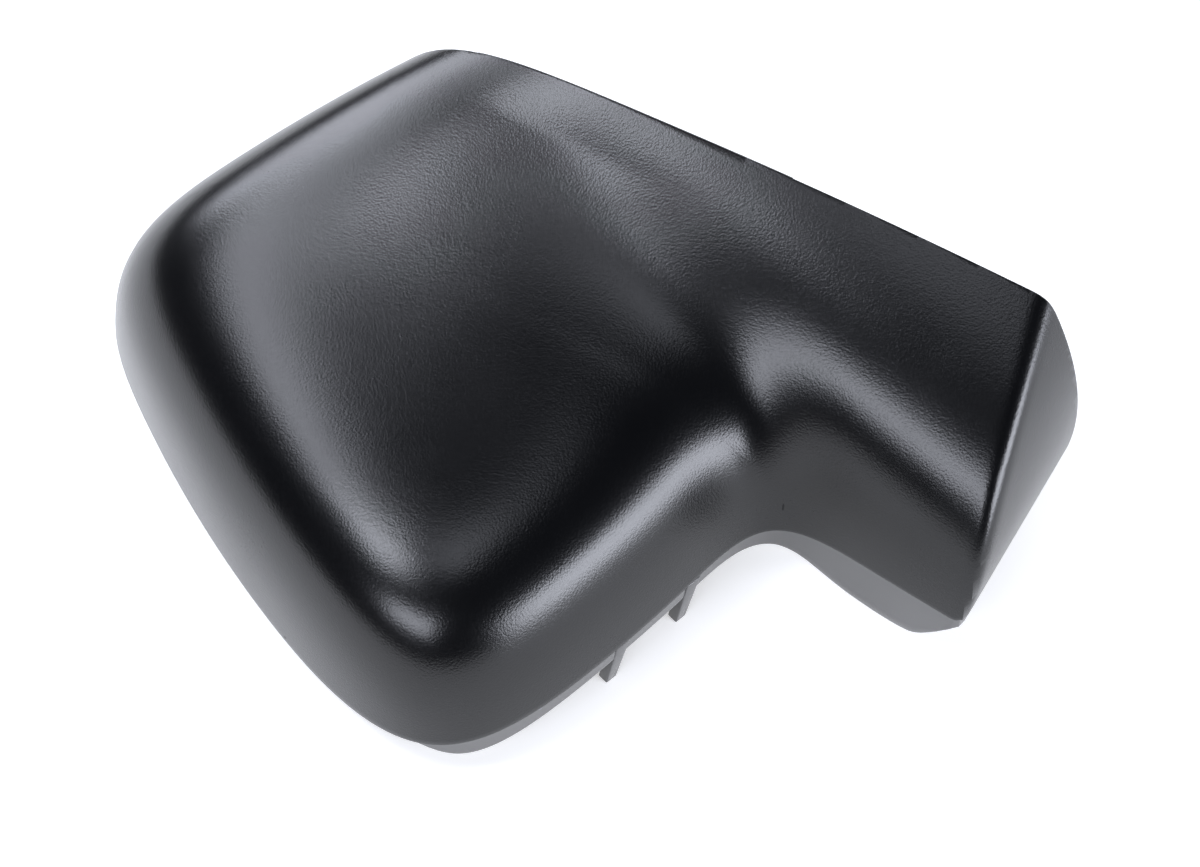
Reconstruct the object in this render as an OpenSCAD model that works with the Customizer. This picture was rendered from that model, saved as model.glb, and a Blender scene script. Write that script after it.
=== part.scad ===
// Wing mirror cover: a one-piece moulded shell that lies open side down.
// The outer skin is a blend of plain drafted faces, and the inside follows it one wall thickness deeper.
// The model stands as it rests: on its left rim, on the lip under the arm and on the tips of two clips.
// Sizes are in millimetres and angles in degrees.

/* [Shell] */
// length of the cover from the left side to the end face
length = 336; // [326:1:346]
// depth of the cover from the front corner to the back edge
depth = 199; // [193:1:205]
// wall thickness of the shell
wall = 2.8; // [2.2:0.1:3.6]
// step from the outer skin in to the lip below it
ledge = 0.9; // [0.5:0.1:1.2]
// thickness of the lip
lip_t = 1.6; // [1.3:0.1:1.7]
// height of the skin's lower edge above the table, under the arm
rim_arm = 25.7; // [24:0.1:27]
// height of the straight back edge above the table, at its middle
edge_z = 112.7; // [108:0.1:116]
// sag of the back edge towards its ends, per millimetre
edge_crown = 0.00028; // [0.0001:0.00002:0.0004]

/* [Body] */
// height of the body's roof at the valley
body_z = 86; // [83:1:89]
// fall of the body's roof towards the front
body_tilt = 11.9; // [10.5:0.1:13.5]
// crown of the body's roof, per millimetre
body_crown = 0.00057; // [0.0004:0.00001:0.0007]
// draft of the wall at the left end of the body
left_draft = 15.4; // [13:0.2:18]
// draft of the long wall from the left end to the front
diagonal_draft = 1.7; // [1:0.1:4]
// draft of the wall at the front corner
front_draft = 9.2; // [7:0.2:11]
// draft of the wall from the front corner to the notch
side_draft = 10; // [8:1:12]
// blend between the body's walls and its roof
shoulder = 58; // [52:1:62]
// blend between the left wall and the long wall
left_corner = 58; // [53:1:63]
// blend at the front corner
front_round = 71; // [66:1:75]

/* [Arm] */
// fall of the arm's roof from the back edge to the front
arm_tilt = 20.7; // [19:0.1:22]
// draft of the arm's front wall
arm_draft = 2.4; // [1:0.2:5]
// blend between the arm's roof and its front wall
arm_shoulder = 51; // [47:1:55]
// blend in the valley between body and arm
valley = 50; // [46:1:54]
// draft of the end face
end_draft = 10.9; // [9.5:0.1:12.5]
// blend along the crease of the end face
crease = 7; // [5:0.5:9]

/* [Lip, clips and tongue] */
// how far the lip hangs below the skin, half way from the front corner to the notch
lip_side = 6.5; // [5:0.5:8]
// how far the lip hangs below the skin at the front corner
lip_corner = 12; // [10:0.5:13]
// width of a clip where it leaves the lip
clip_w = 6; // [5:0.5:8]
// width of a clip at its tip
clip_tip_w = 4.5; // [3.5:0.1:5]
// depth of a clip from its outer face inwards
clip_depth = 4.8; // [4:0.1:6]
// how far the tongue stands out behind the back edge
tongue_out = 1.2; // [0.8:0.1:1.8]
// thickness of the tongue
tongue_t = 1.2; // [1:0.1:1.6]

/* [Hidden] */
$fn = 32;

// the plan points below were measured on a cover of this length and depth
drawn_length = 336;
drawn_depth = 199;
function plan(x, y) = [x * length / drawn_length, y * depth / drawn_depth];

// height at which the plan points of the walls are given
datum_z = 22;
back_y = plan(0, 54)[1];
// each wall: a point in plan, the direction it faces and its bow per millimetre
left_at = plan(-175.2, -12);
left_ang = 154.3;
left_bow = 0.0006;
diagonal_at = plan(-137.2, -81);
diagonal_ang = -127.7;
diagonal_bow = 0.00035;
front_at = plan(-29, -140.7);
front_ang = -107.2;
front_bow = 0.00055;
side_at = plan(52.2, -85);
side_ang = -19.5;
side_bow = 0.00091;
arm_at = plan(112, -18.5);
arm_ang = -105;
end_at = plan(151.8, 40);
end_ang = -2.2;
// the end face is rounded in height about this level
end_mid = 62;
end_bow = 0.00444;
end_sag = end_bow * pow(end_mid - datum_z, 2);
body_mid = plan(-12, 0)[0];
edge_mid = plan(-22, 0)[0];
valley_y = plan(0, 22)[1];
// the body's roof is a little hollow from front to back
body_bow = -0.00035;
// the valley's blend dies out over this distance from the back edge
valley_fade = 70;
flank_shoulder = 55;
// how far the skin runs on behind the back edge before it is trimmed there
overrun = 15;

// a drafted wall as its normal, its offset, the direction and the middle of its bow, and the bow
function wall_face(ang, at, draft, bow) =
    let (n = [cos(ang) * cos(draft), sin(ang) * cos(draft), sin(draft)], t = [-sin(ang), cos(ang), 0])
    [n, n * [at[0], at[1], datum_z], t, t * [at[0], at[1], 0], bow];
// a roof that falls towards the front from a height at a given depth
function roof_face(tilt, y, z, crown, middle) =
    let (n = [0, -sin(tilt), cos(tilt)]) [n, n * [0, y, z], [1, 0, 0], middle, crown];

left_wall = wall_face(left_ang, left_at, left_draft, left_bow);
diagonal_wall = wall_face(diagonal_ang, diagonal_at, diagonal_draft, diagonal_bow);
front_wall = wall_face(front_ang, front_at, front_draft, front_bow);
side_wall = wall_face(side_ang, side_at, side_draft, side_bow);
arm_wall = wall_face(arm_ang, arm_at, arm_draft, 0);
end_wall = wall_face(end_ang, end_at, end_draft, 0);
back_plane = [[0, 1, 0], back_y + overrun, [1, 0, 0], 0, 0];
body_roof = roof_face(body_tilt, valley_y, body_z, body_crown, body_mid);
arm_roof = roof_face(arm_tilt, back_y, edge_z, edge_crown, edge_mid);

// distance outside one face
function past(f, p) = p * f[0] - f[1] + f[4] * pow(p * f[2] - f[3], 2);
// the greater of two distances, rounded over the blend k
function convex(a, b, k) = let (h = max(k - abs(a - b), 0) / k) max(a, b) + h * h * h * k / 6;
// the lesser of two distances, rounded over the blend k
function hollow(a, b, k) = let (h = max(k - abs(a - b), 0) / k) min(a, b) - h * h * h * k / 6;
// distance outside the whole skin
function skin(p) =
    let (
        flank = convex(past(left_wall, p), past(diagonal_wall, p), left_corner),
        walls = convex(past(front_wall, p), past(side_wall, p), front_round),
        body = convex(walls, past(body_roof, p) + body_bow * pow(p[1] - valley_y, 2), shoulder),
        arm = convex(past(arm_roof, p), past(arm_wall, p), arm_shoulder),
        fade = min(1, max(0.05, (back_y - p[1]) / valley_fade)),
        top = convex(hollow(body, arm, valley * fade), flank, flank_shoulder),
        end_face = past(end_wall, p) + end_bow * pow(p[2] - end_mid, 2) - end_sag
    ) max(convex(top, end_face, crease), p[1] - back_y - overrun);

// where two walls would meet in plan at the datum if their corner were sharp
function meet(f, g) =
    let (
        a = f[0], b = g[0],
        c = f[1] - a[2] * datum_z, d = g[1] - b[2] * datum_z,
        det = a[0] * b[1] - a[1] * b[0]
    ) [(c * b[1] - d * a[1]) / det, (a[0] * d - b[0] * c) / det];
function mix(a, b, s) = a + s * (b - a);

// the rim lies in one plane, on the table at the far left and raised at the arm
rim_low_x = plan(-171, 0)[0];
rim_slope = rim_arm / (arm_at[0] - rim_low_x);
function rim_z(x) = rim_slope * (x - rim_low_x);

// the outline in plan as sharp corners: x, y, foot of the ray on the spine, columns to the next, lip
spine_y = plan(0, 12)[1];
spine_left = plan(-95, 0)[0];
spine_right = plan(122, 0)[0];
front_corner = meet(front_wall, side_wall);
notch_corner = meet(side_wall, arm_wall);
end_corner = meet(arm_wall, end_wall);
front_left = meet(diagonal_wall, front_wall);
// under the arm the lip reaches down to the table
lip_arm = rim_arm + 4;
lip_end = 4;
// a negative drop keeps the lip inside the wall, where the skin itself stands on the table
lip_none = -0.6;
path = [
    concat(meet(left_wall, back_plane), [spine_left, 10, lip_none]),
    concat(meet(left_wall, diagonal_wall), [spine_left, 7, lip_none]),
    concat(front_left, [spine_left + 10, 10, lip_none]),
    concat(mix(front_left, front_corner, 0.85), [-5, 4, lip_none]),
    concat(front_corner, [8, 6, lip_corner]),
    concat(mix(front_corner, notch_corner, 0.35), [30, 4, 1.3 * lip_side]),
    concat(mix(front_corner, notch_corner, 0.6), [45, 7, lip_side]),
    concat(notch_corner, [70, 8, 1.6 * lip_side]),
    concat(mix(notch_corner, end_corner, 0.45), [93, 4, lip_arm]),
    concat(mix(notch_corner, end_corner, 0.78), [111, 3, lip_arm]),
    concat(mix(notch_corner, end_corner, 0.92), [118, 2, 0.6 * rim_arm]),
    concat(end_corner, [spine_right, 9, lip_end]),
    concat(meet(end_wall, back_plane), [spine_right, 0, lip_end])
];
last = len(path) - 1;
ahead = [
    for (k = [0:last - 1], i = [0:path[k][3] - 1])
        let (s = i / path[k][3]) [
            mix(path[k][2], path[k + 1][2], s),
            mix(path[k][0], path[k + 1][0], s),
            mix(path[k][1], path[k + 1][1], s),
            mix(path[k][4], path[k + 1][4], s)
        ]
];
// the columns behind the spine share the feet of the columns ahead of it
behind = [
    for (i = [len(ahead) - 1:-1:1])
        if (ahead[i][0] < spine_right && ahead[i][0] > spine_left)
        let (s = (ahead[i][0] - spine_left) / (spine_right - spine_left))
        [ahead[i][0], mix(path[0][0], path[last][0], s), back_y + overrun, lip_none]
];
cols = concat(ahead, [[spine_right, path[last][0], path[last][1], lip_end]], behind);
count = len(cols);
rows = 24;

// a point where a ray from the spine passes the given depth below the skin, found by halving
far = 260;
halvings = 15;
function reach(from, dir, depth, lo, hi, n) =
    let (mid = (lo + hi) / 2)
    n == 0 ? from + dir * mid :
    skin(from + dir * mid) > -depth ? reach(from, dir, depth, lo, mid, n - 1)
    : reach(from, dir, depth, mid, hi, n - 1);
function skin_point(c, r, depth, drop) =
    let (
        foot = [c[0], spine_y, rim_z(c[0]) - drop],
        away = [c[1] - c[0], c[2] - spine_y],
        run = norm(away),
        flat = [away[0] / run, away[1] / run, away[0] * rim_slope / run],
        knee = atan((edge_z - datum_z) / run) * 0.9,
        s = r / rows,
        lift = s < 0.5 ? knee * 2 * s : mix(knee, 90, 2 * s - 1),
        dir = r == rows ? [0, 0, 1] : flat * cos(lift) + [0, 0, sin(lift)]
    ) reach(foot, dir, depth, 0, far, halvings);

outer_points = [for (r = [0:rows]) for (c = cols) skin_point(c, r, 0, 0)];
// the inside starts a little below the rim, so that the shell is open there
inner_drop = 2;
inner_points = [for (r = [0:rows]) for (c = cols) skin_point(c, r, wall, inner_drop)];
// the lowest point of the skin, on the left, stands on the table
floor_z = min([for (p = outer_points) p[2]]);
// the skin as a closed dome of rings, from the rim up to the spine
module dome(points) {
    faces = concat(
        [[for (i = [0:count - 1]) i]],
        [for (r = [0:rows - 1], i = [0:count - 1]) let (j = (i + 1) % count)
            [r * count + i, (r + 1) * count + i, r * count + j]],
        [for (r = [0:rows - 1], i = [0:count - 1]) let (j = (i + 1) % count)
            if (r < rows - 1 || cols[i][0] != cols[j][0])
            [(r + 1) * count + i, (r + 1) * count + j, r * count + j]]
    );
    polyhedron(points, faces, convexity = 8);
}

// the lip: a ring that starts inside the wall and hangs below the skin
lip_root = 1.5;
lip_out = [for (c = cols) skin_point(c, 0, ledge, 0)];
lip_in = [for (c = cols) skin_point(c, 0, ledge + lip_t, 0)];
// the lower edge of the lip hangs a drop below the skin, though never below the table
function lip_foot(p, drop) = [p[0], p[1], max(p[2] - drop, floor_z)];
module lip() {
    points = concat(
        [for (p = lip_out) p + [0, 0, lip_root]],
        [for (i = [0:count - 1]) lip_foot(lip_out[i], cols[i][3])],
        [for (i = [0:count - 1]) lip_foot(lip_in[i], cols[i][3])],
        [for (p = lip_in) p + [0, 0, lip_root]]
    );
    faces = [
        for (r = [0:3], i = [0:count - 1]) let (j = (i + 1) % count, up = (r + 1) % 4)
            [r * count + i, r * count + j, up * count + j, up * count + i]
    ];
    polyhedron(points, faces, convexity = 8);
}

// the foot of a clip: a point of the lip's face at a distance along the side wall from its plan point
clip_search = 30;
function along(d) =
    let (
        out = [cos(side_ang), sin(side_ang)],
        start = side_at + d * [-out[1], out[0]] - clip_search * out
    ) reach([start[0], start[1], rim_z(start[0])], [out[0], out[1], 0], ledge, 0, 2 * clip_search, halvings);

// a clip that hangs from the lip down to the table and tapers to its tip, leaning towards the front corner
clip_places = [0, 33];
clip_lean = 5;
clip_root = 1;
clip_slope = 0.6;
clip_end = 2;
module clip(d) {
    at = along(d);
    translate([at[0], at[1], rim_z(at[0])])
    rotate(side_ang)
    hull() {
        translate([-clip_depth, clip_lean - clip_w / 2, -lip_side])
        cube([clip_depth, clip_w, lip_side - clip_root]);
        translate([-clip_depth, -clip_tip_w / 2, floor_z - rim_z(at[0])])
        cube([clip_depth - clip_slope, clip_tip_w, clip_end]);
    }
}

// a thin tongue that stands out behind the straight edge as a seat for the housing
tongue_from = plan(-76, 0)[0];
tongue_to = plan(43, 0)[0];
tongue_steps = 10;
tongue_sink = 1.1;
tongue_root = 1.2;
tongue_slice = 0.4;
// height of the skin over a point of the back edge
function edge_height(x) = reach([x, back_y, datum_z], [0, 0, 1], 0, 0, far / 2, halvings)[2];
module tongue_end(x) {
    translate([x - tongue_slice / 2, back_y - tongue_root, edge_height(x) - tongue_sink - tongue_t])
    cube([tongue_slice, tongue_root + tongue_out, tongue_t]);
}
module tongue() {
    for (i = [0:tongue_steps - 1])
        hull() {
            tongue_end(mix(tongue_from, tongue_to, i / tongue_steps));
            tongue_end(mix(tongue_from, tongue_to, (i + 1) / tongue_steps));
        }
}

// the middle of the outline in plan, so that the part stands centred
end_levels = [datum_z:2:edge_z - 20];
end_reach = [for (z = end_levels) reach([spine_right, back_y, z], [1, 0, 0], 0, 0, far / 2, halvings)[0]];
centre_x = (min([for (p = outer_points) p[0]]) + max(end_reach)) / 2;
centre_y = (min([for (p = outer_points) p[1]]) + back_y + tongue_out) / 2;

// everything behind the back edge, to be cut away
module behind_edge() {
    translate([-length, back_y, -edge_z])
    cube([2 * length, depth, 3 * edge_z]);
}

module mirror_cover() {
    color("#1c1d20")
    translate([-centre_x, -centre_y, -floor_z])
    union() {
        difference() {
            union() {
                difference() {
                    dome(outer_points);
                    dome(inner_points);
                }
                lip();
                for (d = clip_places) clip(d);
            }
            behind_edge();
        }
        tongue();
    }
}

mirror_cover();
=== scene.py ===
import math
import bpy
import numpy as np
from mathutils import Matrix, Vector


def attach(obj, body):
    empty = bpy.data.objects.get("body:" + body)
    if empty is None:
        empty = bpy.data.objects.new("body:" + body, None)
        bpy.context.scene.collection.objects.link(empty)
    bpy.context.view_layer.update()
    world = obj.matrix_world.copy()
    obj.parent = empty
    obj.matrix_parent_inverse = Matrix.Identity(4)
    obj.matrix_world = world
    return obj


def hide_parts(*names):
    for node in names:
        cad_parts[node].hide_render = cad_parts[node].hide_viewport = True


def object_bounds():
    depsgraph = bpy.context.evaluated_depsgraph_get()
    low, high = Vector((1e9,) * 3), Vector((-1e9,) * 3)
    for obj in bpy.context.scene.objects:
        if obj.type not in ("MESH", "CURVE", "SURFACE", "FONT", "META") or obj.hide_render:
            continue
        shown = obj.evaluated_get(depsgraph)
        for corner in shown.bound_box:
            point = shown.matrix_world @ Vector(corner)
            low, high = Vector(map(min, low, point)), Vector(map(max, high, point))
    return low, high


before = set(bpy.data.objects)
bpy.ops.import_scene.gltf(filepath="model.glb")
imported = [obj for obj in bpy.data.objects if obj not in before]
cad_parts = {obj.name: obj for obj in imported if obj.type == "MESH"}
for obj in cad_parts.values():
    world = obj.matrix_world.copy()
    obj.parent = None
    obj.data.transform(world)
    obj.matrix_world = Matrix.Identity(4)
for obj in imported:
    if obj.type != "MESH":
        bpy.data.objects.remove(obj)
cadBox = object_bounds()
print("frame loaded")

mm = 0.001
bevelAngle = math.radians(50)
smoothAngle = math.radians(40)


def deselectAll():
    if bpy.context.mode != "OBJECT":
        bpy.ops.object.mode_set(mode="OBJECT")
    bpy.ops.object.select_all(action="DESELECT")


def makeActive(obj):
    deselectAll()
    obj.select_set(True)
    bpy.context.view_layer.objects.active = obj


# faces laid out as in the construction, with a fuller relief of the roof; lengths in millimetres
shell = {
    "centre": (-13.98, -44.28, -0.99),  # stands where the construction does
    "wall": 2.8, "ledge": 0.9, "edgeRadius": 0.45,
    "rimUnderArm": 25.7, "rimLowX": -171.0,
    "datum": 22.0, "backY": 54.0, "overrun": 15.0,
    "edgeHeight": 112.7, "edgeCrown": 0.00028, "edgeMiddle": -22.0,
    # each wall: plan point, facing, draft, bow
    "left": ((-173.2, -12.0), 154.3, 19.0, 0.0009),
    "diagonal": ((-137.2, -83.1), -127.7, 0.3, 0.0006),
    "front": ((-29.0, -146.4), -107.2, 8.4, 0.00055),
    "side": ((52.3, -85.0), -19.5, 8.6, 0.00091),
    "arm": ((112.0, -19.9), -101.1, 7.9, 0.0),
    "end": ((151.8, 40.0), -2.2, 10.9, 0.0),
    "endMiddle": 62.0, "endBow": 0.00444,
    "bodyHeight": 87.0, "bodyTilt": 9.7, "bodyCrown": 0.00062, "bodyMiddle": -31.3,
    "bodyBow": -0.00062, "bodyTwist": 0.00037, "twistMiddle": -12.0, "valleyY": 22.0,
    "riseAt": (-100.0, 54.0, 116.0), "riseTilt": 30.1, "riseSide": 6.3,
    "riseCrown": 6e-05, "riseMiddle": -60.0, "riseBlend": 47.5,
    "inner": ((42.1, -9.6), 58.8, 47.3, 0.0), "innerHeight": 80.0, "innerBlend": 45.9,
    "armTilt": 21.7,
    "shoulder": 66.9, "flankShoulder": 69.5, "corner": 52.3, "frontCorner": 77.3, "armShoulder": 63.8,
    "valley": 41.9, "valleyFade": 70.7, "valleyLeast": 0.23, "crease": 7.0,
    "spineY": 12.0, "spineLeft": -95.0, "spineRight": 122.0,
    "columnsPerPart": 3, "rows": 66, "kneeShare": 0.9, "halvings": 26, "farAway": 260.0,
}
# drop of the lip below the rim along the outline; less than lipLeast leaves it out
lipShape = {
    "thickness": 1.6, "edgeRadius": 0.4, "overlap": 1.2, "rounding": 10.0, "rows": 8,
    "side": 6.5, "corner": 13.0, "none": -0.6, "least": -0.3, "end": 4.0, "spare": 4.0,
    "easing": 5, "easingRounds": 3,
}
rimSlope = shell["rimUnderArm"] / (shell["arm"][0][0] - shell["rimLowX"])
spineLeft, spineRight = shell["spineLeft"], shell["spineRight"]
alongX = np.array([1.0, 0.0, 0.0])
upwards = np.array([0.0, 0.0, 1.0])


def wallFace(name, height=shell["datum"]):
    at, facing, draft, bow = shell[name]
    a, d = math.radians(facing), math.radians(draft)
    n = np.array([math.cos(a) * math.cos(d), math.sin(a) * math.cos(d), math.sin(d)])
    t = np.array([-math.sin(a), math.cos(a), 0.0])
    return n, n @ [at[0], at[1], height], t, t @ [at[0], at[1], 0.0], bow


def roofFace(tilt, y, z, crown, middle):
    d = math.radians(tilt)
    n = np.array([0.0, -math.sin(d), math.cos(d)])
    return n, n @ [0.0, y, z], alongX, middle, crown


def riseFace():
    # the roof of the back-left corner, which tilts both ways
    side, tilt = math.radians(shell["riseSide"]), math.radians(shell["riseTilt"])
    n = np.array([math.tan(side), -math.tan(tilt), 1.0])
    n /= np.linalg.norm(n)
    return n, n @ shell["riseAt"], alongX, shell["riseMiddle"], shell["riseCrown"]


def past(face, p):
    # how far a point lies outside a face
    n, offset, t, middle, bow = face
    return p @ n - offset + bow * (p @ t - middle) ** 2


def roundMax(a, b, k):
    h = np.maximum(k - np.abs(a - b), 0.0) / k
    return np.maximum(a, b) + h ** 3 * k / 6.0


def roundMin(a, b, k):
    return -roundMax(-a, -b, k)


leftWall = wallFace("left")
diagonalWall = wallFace("diagonal")
frontWall = wallFace("front")
sideWall = wallFace("side")
armWall = wallFace("arm")
endWall = wallFace("end")
innerWall = wallFace("inner", shell["innerHeight"])
backEnd = shell["backY"] + shell["overrun"]
backPlane = (np.array([0.0, 1.0, 0.0]), backEnd, alongX, 0.0, 0.0)
bodyRoof = roofFace(
    shell["bodyTilt"], shell["valleyY"], shell["bodyHeight"], shell["bodyCrown"], shell["bodyMiddle"])
riseRoof = riseFace()
armRoof = roofFace(
    shell["armTilt"], shell["backY"], shell["edgeHeight"], shell["edgeCrown"], shell["edgeMiddle"])
endSag = shell["endBow"] * (shell["endMiddle"] - shell["datum"]) ** 2


def skin(p):
    # how far a point lies outside the blended skin
    flank = roundMax(past(leftWall, p), past(diagonalWall, p), shell["corner"])
    walls = roundMax(past(frontWall, p), past(sideWall, p), shell["frontCorner"])
    beside, behindValley = p[:, 0] - shell["twistMiddle"], p[:, 1] - shell["valleyY"]
    bowed = shell["bodyBow"] * behindValley ** 2 + shell["bodyTwist"] * beside * behindValley
    flat = roundMax(past(bodyRoof, p) + bowed, past(innerWall, p), shell["innerBlend"])
    roof = roundMin(flat, past(riseRoof, p), shell["riseBlend"])
    body = roundMax(walls, roof, shell["shoulder"])
    arm = roundMax(past(armRoof, p), past(armWall, p), shell["armShoulder"])
    fade = np.clip((shell["backY"] - p[:, 1]) / shell["valleyFade"], shell["valleyLeast"], 1.0)
    top = roundMax(roundMin(body, arm, shell["valley"] * fade), flank, shell["flankShoulder"])
    endFace = past(endWall, p) + shell["endBow"] * (p[:, 2] - shell["endMiddle"]) ** 2 - endSag
    return np.maximum(roundMax(top, endFace, shell["crease"]), p[:, 1] - backEnd)


def reach(start, direction, depth, far=shell["farAway"]):
    # where each ray passes the given depth below the skin, by halving
    low = np.zeros(len(start))
    high = np.full(len(start), far)
    for _ in range(shell["halvings"]):
        middle = (low + high) / 2.0
        outside = skin(start + direction * middle[:, None]) > -depth
        high = np.where(outside, middle, high)
        low = np.where(outside, low, middle)
    return start + direction * ((low + high) / 2.0)[:, None]


def meet(f, g):
    # the sharp corner of two walls in plan
    lines = np.array([f[0][:2], g[0][:2]])
    offsets = np.array([f[1] - f[0][2] * shell["datum"], g[1] - g[0][2] * shell["datum"]])
    return np.linalg.solve(lines, offsets)


def mix(a, b, s):
    return a + s * (b - a)


def rimHeight(x):
    return rimSlope * (x - shell["rimLowX"])


frontLeft, frontCorner = meet(diagonalWall, frontWall), meet(frontWall, sideWall)
notchCorner, endCorner = meet(sideWall, armWall), meet(armWall, endWall)
lipArm = shell["rimUnderArm"] + lipShape["spare"]
# plan corner, foot on the spine, columns up to the next corner, drop of the lip
outline = [
    (meet(leftWall, backPlane), spineLeft, 10, lipShape["none"]),
    (meet(leftWall, diagonalWall), spineLeft, 7, lipShape["none"]),
    (frontLeft, spineLeft + 10.0, 10, lipShape["none"]),
    (mix(frontLeft, frontCorner, 0.85), -5.0, 4, lipShape["none"]),
    (frontCorner, 8.0, 6, lipShape["corner"]),
    (mix(frontCorner, notchCorner, 0.35), 30.0, 4, 1.3 * lipShape["side"]),
    (mix(frontCorner, notchCorner, 0.6), 45.0, 7, lipShape["side"]),
    (notchCorner, 70.0, 8, 1.6 * lipShape["side"]),
    (mix(notchCorner, endCorner, 0.45), 93.0, 4, lipArm),
    (mix(notchCorner, endCorner, 0.78), 111.0, 3, lipArm),
    (mix(notchCorner, endCorner, 0.92), 118.0, 2, 0.6 * shell["rimUnderArm"]),
    (endCorner, spineRight, 9, lipShape["end"]),
    (meet(endWall, backPlane), spineRight, 0, lipShape["end"]),
]


def columnList(fine):
    # each column: foot on the spine, plan point it runs to, drop of the lip
    ahead = []
    for here, there in zip(outline, outline[1:]):
        steps = here[2] * fine
        for i in range(steps):
            s = i / steps
            spot = mix(here[0], there[0], s)
            ahead.append((mix(here[1], there[1], s), spot[0], spot[1], mix(here[3], there[3], s)))
    firstX, last = outline[0][0][0], outline[-1][0]
    ahead.append((spineRight, last[0], last[1], lipShape["end"]))
    behind = []
    for foot in [column[0] for column in reversed(ahead)]:
        if spineLeft < foot < spineRight:
            s = (foot - spineLeft) / (spineRight - spineLeft)
            behind.append((foot, mix(firstX, last[0], s), backEnd, lipShape["none"]))
    return np.array(ahead), np.array(behind)


def skinPoints(columns, share, depth):
    # share runs from 0 at the rim to 1 at the spine
    feet = columns[:, 0]
    foot = np.stack([feet, np.full(len(columns), shell["spineY"]), rimHeight(feet)], -1)
    away = np.stack([columns[:, 1] - feet, columns[:, 2] - shell["spineY"]], -1)
    run = np.linalg.norm(away, axis=1)
    flat = np.stack([away[:, 0] / run, away[:, 1] / run, away[:, 0] * rimSlope / run], -1)
    knee = np.arctan((shell["edgeHeight"] - shell["datum"]) / run) * shell["kneeShare"]
    lift = np.where(share < 0.5, knee * 2.0 * share, mix(knee, math.pi / 2, 2.0 * share - 1.0))
    direction = flat * np.cos(lift)[:, None]
    direction[:, 2] += np.sin(lift)
    if share >= 1.0:
        direction = np.tile(upwards, (len(columns), 1))
    return reach(foot, direction, depth)


ahead, behind = columnList(shell["columnsPerPart"])
centre = np.array(shell["centre"])
backEdge = (shell["backY"] - centre[1]) * mm
print("skin worked out,", len(ahead) + len(behind), "columns")


def toScene(points):
    return (np.asarray(points) - centre) * mm


def gridPiece(name, rows):
    # a grid is added, and each of its points is put where rows says
    rows = np.asarray(rows)
    deselectAll()
    bpy.ops.mesh.primitive_grid_add(
        x_subdivisions=rows.shape[1] - 1, y_subdivisions=rows.shape[0] - 1, size=1.0)
    piece = bpy.context.object
    piece.name = name
    piece.data.vertices.foreach_set("co", toScene(rows.reshape(-1, 3)).astype(np.float32).ravel())
    piece.data.update()
    return piece


def applyAll(piece):
    makeActive(piece)
    for modifier in list(piece.modifiers):
        bpy.ops.object.modifier_apply(modifier=modifier.name)


def trimBehind(piece):
    makeActive(piece)
    bpy.ops.object.mode_set(mode="EDIT")
    bpy.ops.mesh.select_all(action="SELECT")
    bpy.ops.mesh.bisect(
        plane_co=(0.0, backEdge, 0.0), plane_no=(0.0, 1.0, 0.0), clear_outer=True, threshold=1e-6)
    bpy.ops.object.mode_set(mode="OBJECT")


def tidySurface(piece, gap=0.00002):
    makeActive(piece)
    bpy.ops.object.mode_set(mode="EDIT")
    bpy.ops.mesh.select_all(action="SELECT")
    bpy.ops.mesh.remove_doubles(threshold=gap)
    bpy.ops.mesh.normals_make_consistent(inside=False)
    bpy.ops.object.mode_set(mode="OBJECT")


def thicken(piece, thickness, edgeRadius):
    solid = piece.modifiers.new("wall", "SOLIDIFY")
    solid.thickness = thickness * mm
    solid.offset = -1.0
    solid.use_even_offset = True
    rounding = piece.modifiers.new("edge", "BEVEL")
    rounding.width = edgeRadius * mm
    rounding.segments = 2
    rounding.limit_method = "ANGLE"
    rounding.angle_limit = bevelAngle
    applyAll(piece)


# outer skin with its wall
ring = np.concatenate([ahead, behind, ahead[:1]])
skinRows = [skinPoints(ring, share, 0.0) for share in np.linspace(0.0, 1.0, shell["rows"] + 1)]
cover = gridPiece("cover", skinRows)
tidySurface(cover)
trimBehind(cover)
tidySurface(cover)
if sum(f.normal.z * f.area for f in cover.data.polygons) < 0:
    cover.data.flip_normals()
thicken(cover, shell["wall"], shell["edgeRadius"])
print("skin made,", len(cover.data.polygons), "faces")


def easedDrops(columns):
    # running means along the outline take the corners out of the lip's lower edge
    eased = columns.copy()
    span = 2 * lipShape["easing"] + 1
    for _ in range(lipShape["easingRounds"]):
        padded = np.pad(eased[:, 3], lipShape["easing"], mode="edge")
        eased[:, 3] = np.convolve(padded, np.full(span, 1.0 / span), mode="valid")
    return eased[eased[:, 3] > lipShape["least"]]


# the lip hangs below the skin, a step further in
lipColumns = easedDrops(ahead)
lipTop = skinPoints(lipColumns, 0.0, shell["ledge"])
floorZ = centre[2]
lipFoot = roundMax(lipTop[:, 2] - lipColumns[:, 3], floorZ, lipShape["rounding"])
lipFoot = np.maximum(lipFoot, floorZ)
lipRows = []
for share in np.linspace(0.0, 1.0, lipShape["rows"] + 1):
    row = lipTop.copy()
    row[:, 2] = mix(lipTop[:, 2] + lipShape["overlap"], lipFoot, share)
    lipRows.append(row)
lip = gridPiece("lip", lipRows)
trimBehind(lip)
tidySurface(lip)


def facesOut(face, middleX=-0.02):
    # above 0 where a face looks away from the middle of the part
    away = Vector((face.center.x - middleX, face.center.y, 0.0)).normalized()
    return face.normal.dot(away) * face.area


if sum(facesOut(f) for f in lip.data.polygons) < 0:
    lip.data.flip_normals()
thicken(lip, lipShape["thickness"], lipShape["edgeRadius"])
print("lip made,", len(lip.data.polygons), "faces")

clip = {
    "places": (0.0, 33.0), "width": 6.0, "tipWidth": 4.5, "depth": 4.8, "lean": 5.0, "root": 1.0,
    "slope": 0.6, "edgeRadius": 0.5, "searchFrom": 30.0, "searchReach": 60.0,
}


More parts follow.
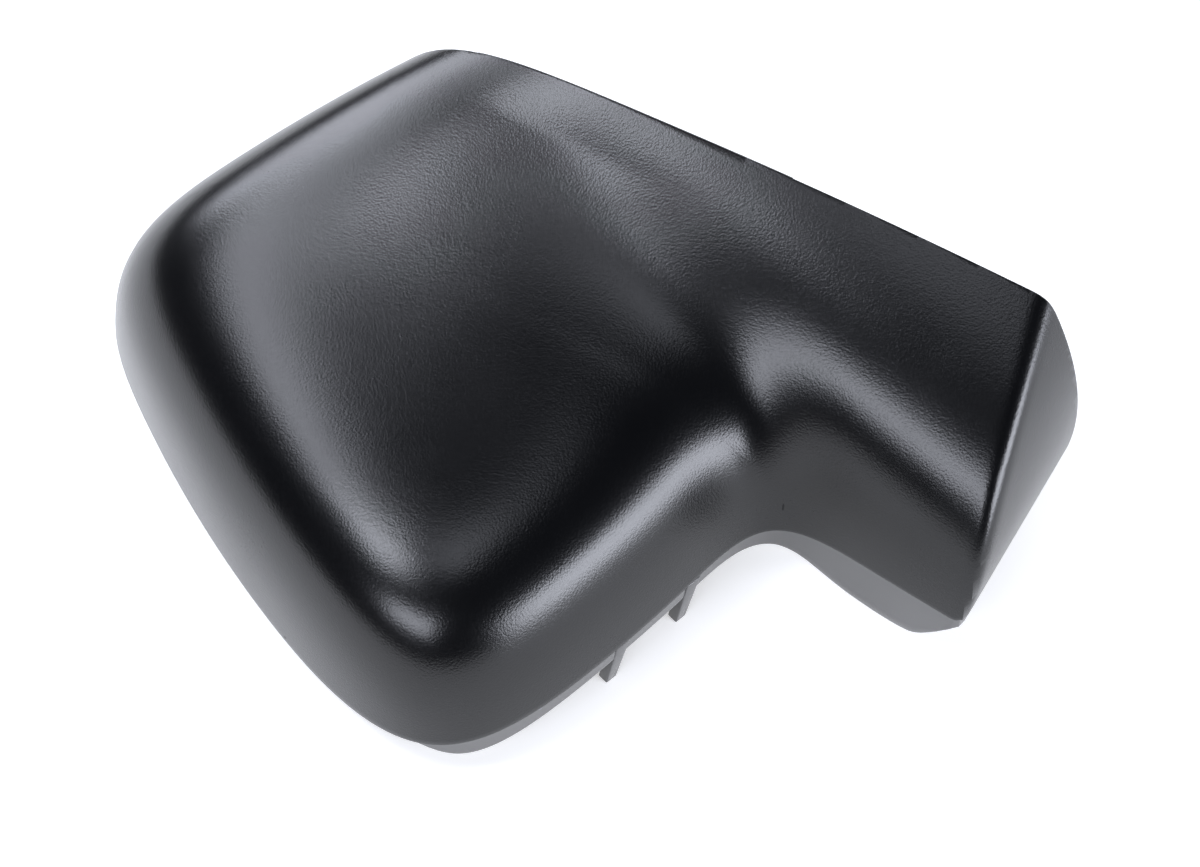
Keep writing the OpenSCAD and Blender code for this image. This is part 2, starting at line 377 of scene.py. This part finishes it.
def makeClip(name, place):
    # a cube whose lower end is narrowed and set over towards the front corner
    at, facing = shell["side"][:2]
    a = math.radians(facing)
    outwards = np.array([math.cos(a), math.sin(a)])
    onwards = np.array([-math.sin(a), math.cos(a)])
    start = np.array(at) + place * onwards - clip["searchFrom"] * outwards
    foot = np.array([[start[0], start[1], rimHeight(start[0])]])
    direction = np.array([[outwards[0], outwards[1], 0.0]])
    spot = reach(foot, direction, shell["ledge"], clip["searchReach"])[0][:2]
    high = rimHeight(spot[0]) - clip["root"]
    deselectAll()
    bpy.ops.mesh.primitive_cube_add(size=1.0)
    piece = bpy.context.object
    piece.name = name
    for v in piece.data.vertices:
        tip = v.co.z < 0
        slope = clip["slope"] if tip else 0.0
        inset = clip["depth"] if v.co.x < 0 else slope
        onward = v.co.y * clip["tipWidth"] if tip else v.co.y * clip["width"] + clip["lean"]
        x, y = spot - inset * outwards + onward * onwards
        v.co = Vector(toScene([x, y, floorZ if tip else high]))
    rounding = piece.modifiers.new("edge", "BEVEL")
    rounding.width = clip["edgeRadius"] * mm
    rounding.segments = 3
    applyAll(piece)
    return piece


clips = [makeClip("clip%d" % (i + 1), place) for i, place in enumerate(clip["places"])]

tongue = {
    "from": -76.0, "to": 43.0, "sink": 1.1, "thickness": 1.2, "out": 1.2, "root": 1.2,
    "edgeRadius": 0.25, "columns": 60, "rows": 3, "searchReach": 120.0,
}


def makeTongue():
    # a thin strip that follows the straight edge a little below the skin and stands out behind it
    count = tongue["columns"]
    steps = np.linspace(tongue["from"], tongue["to"], count)
    start = np.stack([steps, np.full(count, shell["backY"]), np.full(count, shell["datum"])], -1)
    edgeLine = reach(start, np.tile(upwards, (count, 1)), 0.0, tongue["searchReach"])
    rows = []
    for y in np.linspace(-tongue["root"], tongue["out"], tongue["rows"] + 1):
        row = edgeLine.copy()
        row[:, 1] += y
        row[:, 2] -= tongue["sink"]
        rows.append(row)
    strip = gridPiece("tongue", rows)
    tidySurface(strip)
    if sum(f.normal.z for f in strip.data.polygons) < 0:
        strip.data.flip_normals()
    thicken(strip, tongue["thickness"], tongue["edgeRadius"])
    return strip


strip = makeTongue()

# one moulding, with the skin's faces first
skinFaces = len(cover.data.polygons)
makeActive(cover)
for piece in [lip, strip] + clips:
    piece.select_set(True)
bpy.ops.object.join()
# 0 skin, 1 lip, clips and tongue
finishIndex = [0 if i < skinFaces else 1 for i in range(len(cover.data.polygons))]

# nothing stands out of the construction's box
spots = np.empty(len(cover.data.vertices) * 3, dtype=np.float32)
cover.data.vertices.foreach_get("co", spots)
low, high = (np.array(corner, dtype=np.float32) for corner in cadBox)
cover.data.vertices.foreach_set("co", np.clip(spots.reshape(-1, 3), low, high).ravel())
makeActive(cover)
bpy.ops.object.shade_smooth_by_angle(angle=smoothAngle)
print("moulding joined,", len(cover.data.polygons), "faces")

# black plastic: a satin spark grain on the skin, a plainer finish on lip, clips and tongue, whose
# grey colour is a painted reflection of the pale floor
plastic = {
    # the lip's grey base colour is a painted reflection of the pale floor on the black plastic
    "skinColour": (0.0016, 0.0017, 0.0021, 1.0), "lipPaintedReflectionColour": (0.12, 0.118, 0.115, 1.0),
    "dustColour": (0.16, 0.16, 0.17, 1.0),
    "skinRoughness": 0.24, "lipRoughness": 0.22, "roughnessSpread": 0.05, "smudgeSpread": 0.05,
    "grainScale": 1350.0, "skinGrain": 0.9, "lipGrain": 0.1, "grainDepth": 0.00005,
    "grainDetail": 3.0, "grainSharpness": 0.6, "pitShare": 0.6, "grainMiddle": 0.7,
    "dustCells": 75.0, "dustSize": 0.016, "dustShare": 0.3, "dustStrength": 0.5,
    "smudgeScale": 22.0, "smudgeDetail": 2.0, "smudgeMiddle": 0.5,
    "scuffRoughness": 0.75, "raggedScale": 900.0, "spotReach": 1.3,
    "ior": 1.5,
}
# scuffs and bits of flash in the part's frame: place and half sizes in millimetres, turn in degrees
scuffs = [
    ((-5.0, 53.3, 86.0), (0.8, 2.4, 5.0), 40.0),
    ((93.7, 27.9, 34.9), (0.45, 2.0, 2.2), 20.0),
    ((-34.6, -84.8, 14.1), (0.5, 2.0, 0.5), 0.0),
]
specks = [
    ((-11.0, -31.7, 69.6), (0.7, 0.5, 4.0), 0.0),
    ((54.0, -68.6, 18.0), (1.2, 1.2, 1.2), 0.0),
    ((108.4, 29.2, 29.6), (0.8, 0.8, 0.8), 0.0),
    ((156.6, 18.8, 30.0), (0.8, 0.8, 0.8), 0.0),
]


def newGroup(name, inputs, outputs):
    group = bpy.data.node_groups.new(name, "ShaderNodeTree")
    for socketName, socketType in inputs:
        group.interface.new_socket(name=socketName, in_out="INPUT", socket_type=socketType)
    for socketName, socketType in outputs:
        group.interface.new_socket(name=socketName, in_out="OUTPUT", socket_type=socketType)
    return group, group.nodes.new("NodeGroupInput"), group.nodes.new("NodeGroupOutput")


def mathNode(tree, operation, first, second):
    node = tree.nodes.new("ShaderNodeMath")
    node.operation = operation
    for socket, value in zip(node.inputs, (first, second)):
        if isinstance(value, float):
            socket.default_value = value
        else:
            tree.links.new(value, socket)
    return node.outputs["Value"]


def sparkGrainGroup():
    # pits and peaks of a spark-eroded mould: fine noise with sharper cells over it
    inputs = [("Vector", "NodeSocketVector"), ("Scale", "NodeSocketFloat")]
    group, given, made = newGroup("sparkGrain", inputs, [("Height", "NodeSocketFloat")])
    noise = group.nodes.new("ShaderNodeTexNoise")
    noise.inputs["Detail"].default_value = plastic["grainDetail"]
    noise.inputs["Roughness"].default_value = plastic["grainSharpness"]
    cells = group.nodes.new("ShaderNodeTexVoronoi")
    for node in (noise, cells):
        group.links.new(given.outputs["Vector"], node.inputs["Vector"])
        group.links.new(given.outputs["Scale"], node.inputs["Scale"])
    pits = mathNode(group, "MULTIPLY", cells.outputs["Distance"], plastic["pitShare"])
    group.links.new(mathNode(group, "ADD", noise.outputs["Fac"], pits), made.inputs["Height"])
    return group


def spotMask(tree, vector, wobble, spots):
    # ragged ellipsoids about the given places
    total = None
    for place, half, turn in spots:
        local = tree.nodes.new("ShaderNodeMapping")
        local.vector_type = "TEXTURE"
        local.inputs["Location"].default_value = [v * mm for v in place]
        local.inputs["Rotation"].default_value = (0.0, 0.0, math.radians(turn))
        local.inputs["Scale"].default_value = [v * mm for v in half]
        tree.links.new(vector, local.inputs["Vector"])
        away = tree.nodes.new("ShaderNodeVectorMath")
        away.operation = "LENGTH"
        tree.links.new(local.outputs["Vector"], away.inputs[0])
        distance = mathNode(tree, "ADD", away.outputs["Value"], wobble)
        inside = mathNode(tree, "LESS_THAN", distance, plastic["spotReach"])
        total = inside if total is None else mathNode(tree, "MAXIMUM", total, inside)
    return total


def handledGroup():
    # what moulding and handling leave: specks of dust, scuffs, bits of flash, and broad soft smudges
    outputs = [(name, "NodeSocketFloat") for name in ("Dust", "Smudge", "Scuff", "Speck")]
    group, given, made = newGroup("handled", [("Vector", "NodeSocketVector")], outputs)
    vector = given.outputs["Vector"]
    ragged = group.nodes.new("ShaderNodeTexNoise")
    ragged.inputs["Scale"].default_value = plastic["raggedScale"]
    group.links.new(vector, ragged.inputs["Vector"])
    for name, spots in (("Scuff", scuffs), ("Speck", specks)):
        group.links.new(spotMask(group, vector, ragged.outputs["Fac"], spots), made.inputs[name])
    cells = group.nodes.new("ShaderNodeTexVoronoi")
    cells.inputs["Scale"].default_value = plastic["dustCells"]
    group.links.new(vector, cells.inputs["Vector"])
    split = group.nodes.new("ShaderNodeSeparateColor")
    group.links.new(cells.outputs["Color"], split.inputs["Color"])
    chosen = mathNode(group, "LESS_THAN", split.outputs["Red"], plastic["dustShare"])
    size = mathNode(group, "MULTIPLY", split.outputs["Green"], plastic["dustSize"])
    near = mathNode(group, "LESS_THAN", cells.outputs["Distance"], size)
    group.links.new(mathNode(group, "MULTIPLY", chosen, near), made.inputs["Dust"])
    smudge = group.nodes.new("ShaderNodeTexNoise")
    smudge.inputs["Scale"].default_value = plastic["smudgeScale"]
    smudge.inputs["Detail"].default_value = plastic["smudgeDetail"]
    group.links.new(vector, smudge.inputs["Vector"])
    group.links.new(smudge.outputs["Fac"], made.inputs["Smudge"])
    return group


sparkGrain, handled = sparkGrainGroup(), handledGroup()


def plasticMaterial(name, colour, roughness, grainStrength):
    mat = bpy.data.materials.new(name)
    mat.use_nodes = True
    tree = mat.node_tree
    nodes, links = tree.nodes, tree.links
    shader = nodes["Principled BSDF"]
    shader.inputs["IOR"].default_value = plastic["ior"]
    coordinates = nodes.new("ShaderNodeTexCoord").outputs["Object"]
    grain = nodes.new("ShaderNodeGroup")
    grain.node_tree = sparkGrain
    grain.inputs["Scale"].default_value = plastic["grainScale"]
    links.new(coordinates, grain.inputs["Vector"])
    traces = nodes.new("ShaderNodeGroup")
    traces.node_tree = handled
    links.new(coordinates, traces.inputs["Vector"])
    # dust and flash are paler than the plastic
    colourMix = nodes.new("ShaderNodeMix")
    colourMix.data_type = "RGBA"
    colourMix.inputs["A"].default_value = colour
    colourMix.inputs["B"].default_value = plastic["dustColour"]
    dusty = mathNode(tree, "MULTIPLY", traces.outputs["Dust"], plastic["dustStrength"])
    pale = mathNode(tree, "MAXIMUM", dusty, traces.outputs["Speck"])
    links.new(pale, colourMix.inputs["Factor"])
    links.new(colourMix.outputs["Result"], shader.inputs["Base Color"])
    # grain and smudges vary the sheen, and scuffs are dull
    rise = mathNode(tree, "SUBTRACT", grain.outputs["Height"], plastic["grainMiddle"])
    uneven = mathNode(tree, "MULTIPLY", rise, plastic["roughnessSpread"])
    cloud = mathNode(tree, "SUBTRACT", traces.outputs["Smudge"], plastic["smudgeMiddle"])
    cloudy = mathNode(tree, "MULTIPLY", cloud, plastic["smudgeSpread"] * 2.0)
    satin = mathNode(tree, "ADD", mathNode(tree, "ADD", uneven, cloudy), roughness)
    scuffed = mathNode(tree, "MULTIPLY", traces.outputs["Scuff"], plastic["scuffRoughness"])
    links.new(mathNode(tree, "MAXIMUM", satin, scuffed), shader.inputs["Roughness"])
    bump = nodes.new("ShaderNodeBump")
    bump.inputs["Strength"].default_value = grainStrength
    bump.inputs["Distance"].default_value = plastic["grainDepth"]
    links.new(grain.outputs["Height"], bump.inputs["Height"])
    links.new(bump.outputs["Normal"], shader.inputs["Normal"])
    return mat


cover.data.materials.clear()
cover.data.materials.append(plasticMaterial(
    "grainedBlackPlastic", plastic["skinColour"], plastic["skinRoughness"], plastic["skinGrain"]))
# lip, clips and tongue: plainer black plastic with a painted floor reflection as its grey colour
cover.data.materials.append(plasticMaterial(
    "plainBlackPlasticPaintedReflection", plastic["lipPaintedReflectionColour"], plastic["lipRoughness"], plastic["lipGrain"]))
cover.data.polygons.foreach_set("material_index", finishIndex)
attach(cover, "root")
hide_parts("mirror_cover")
print("materials set")

# floor, light and camera; lengths in metres, angles in degrees, aim in the shell's millimetres
studio = {
    "floorSize": 6.0, "floorColour": (0.8, 0.8, 0.8, 1.0), "floorRoughness": 0.9,
    "floorGlow": 0.5, "floorInGloss": 0.5,
    "lampColour": (0.87, 0.9, 1.0), "roomColour": (0.7, 0.8, 1.0, 1.0), "roomLight": 0.03,
    "cameraAround": 28.52, "cameraUp": 58.02, "cameraDistance": 0.9597, "aim": (1.7, -1.2, 0.0),
    "focalPixels": 2700.0, "photoWidth": 1200.0, "sensorWidth": 36.0,
}


def makeFloor():
    deselectAll()
    bpy.ops.mesh.primitive_plane_add(size=studio["floorSize"])
    floor = bpy.context.object
    floor.name = "floor"
    mat = bpy.data.materials.new("paleFloor")
    mat.use_nodes = True
    tree = mat.node_tree
    shader = tree.nodes["Principled BSDF"]
    shader.inputs["Base Color"].default_value = studio["floorColour"]
    shader.inputs["Roughness"].default_value = studio["floorRoughness"]
    shader.inputs["Specular IOR Level"].default_value = 0.0
    # the camera, gloss and glass see a floor that is brighter than the light on it
    path = tree.nodes.new("ShaderNodeLightPath")
    seen = mathNode(tree, "MULTIPLY", path.outputs["Is Camera Ray"], studio["floorGlow"])
    mirrored = mathNode(tree, "MULTIPLY", path.outputs["Is Glossy Ray"], studio["floorInGloss"])
    through = mathNode(tree, "MULTIPLY", path.outputs["Is Transmission Ray"], studio["floorGlow"])
    glowing = mathNode(tree, "MAXIMUM", mathNode(tree, "MAXIMUM", seen, mirrored), through)
    glow = tree.nodes.new("ShaderNodeEmission")
    tree.links.new(glowing, glow.inputs["Strength"])
    both = tree.nodes.new("ShaderNodeAddShader")
    tree.links.new(shader.outputs["BSDF"], both.inputs[0])
    tree.links.new(glow.outputs["Emission"], both.inputs[1])
    tree.links.new(both.outputs["Shader"], tree.nodes["Material Output"].inputs["Surface"])
    floor.data.materials.append(mat)
    return floor


floor = makeFloor()

world = bpy.data.worlds.new("studio")
bpy.context.scene.world = world
world.use_nodes = True
background = world.node_tree.nodes["Background"]
background.inputs["Color"].default_value = studio["roomColour"]
background.inputs["Strength"].default_value = studio["roomLight"]

lamps = [
    # name, direction round, direction up, distance, width, height, power
    ("sideBox", 0.0, 13.0, 1.3, 0.95, 0.5, 18.0),
    ("endBox", 38.0, 12.0, 1.3, 0.5, 0.5, 3.0),
    ("frontBox", -92.0, 36.0, 1.3, 0.75, 0.4, 8.0),
    ("leftBox", -150.0, 64.0, 1.3, 0.42, 0.4, 6.5),
    ("backBox", 156.0, 33.0, 1.3, 0.55, 0.6, 9.0),
    ("backHighBox", 176.0, 50.0, 1.3, 0.5, 0.4, 3.5),
    ("topBox", 0.0, 88.0, 1.3, 0.36, 0.36, 1.0),
]
for name, around, up, distance, width, height, power in lamps:
    a, e = math.radians(around), math.radians(up)
    place = Vector((math.cos(a) * math.cos(e), math.sin(a) * math.cos(e), math.sin(e))) * distance
    deselectAll()
    bpy.ops.object.light_add(type="AREA", location=place)
    lamp = bpy.context.object
    lamp.name = name
    lamp.data.shape = "RECTANGLE"
    lamp.data.size = width
    lamp.data.size_y = height
    lamp.data.energy = power
    lamp.data.color = studio["lampColour"]
    lamp.rotation_euler = (-place).to_track_quat("-Z", "Y").to_euler()

a, e = math.radians(studio["cameraAround"]), math.radians(studio["cameraUp"])
back = Vector((math.sin(a) * math.cos(e), -math.cos(a) * math.cos(e), math.sin(e)))
target = Vector(toScene(studio["aim"]))
deselectAll()
bpy.ops.object.camera_add(location=target + back * studio["cameraDistance"])
camera = bpy.context.object
camera.rotation_euler = (-back).to_track_quat("-Z", "Y").to_euler()
camera.data.sensor_width = studio["sensorWidth"]
camera.data.lens = studio["focalPixels"] / studio["photoWidth"] * studio["sensorWidth"]
bpy.context.scene.camera = camera
bpy.context.scene.view_settings.view_transform = "Standard"
print("studio set")

deselectAll()
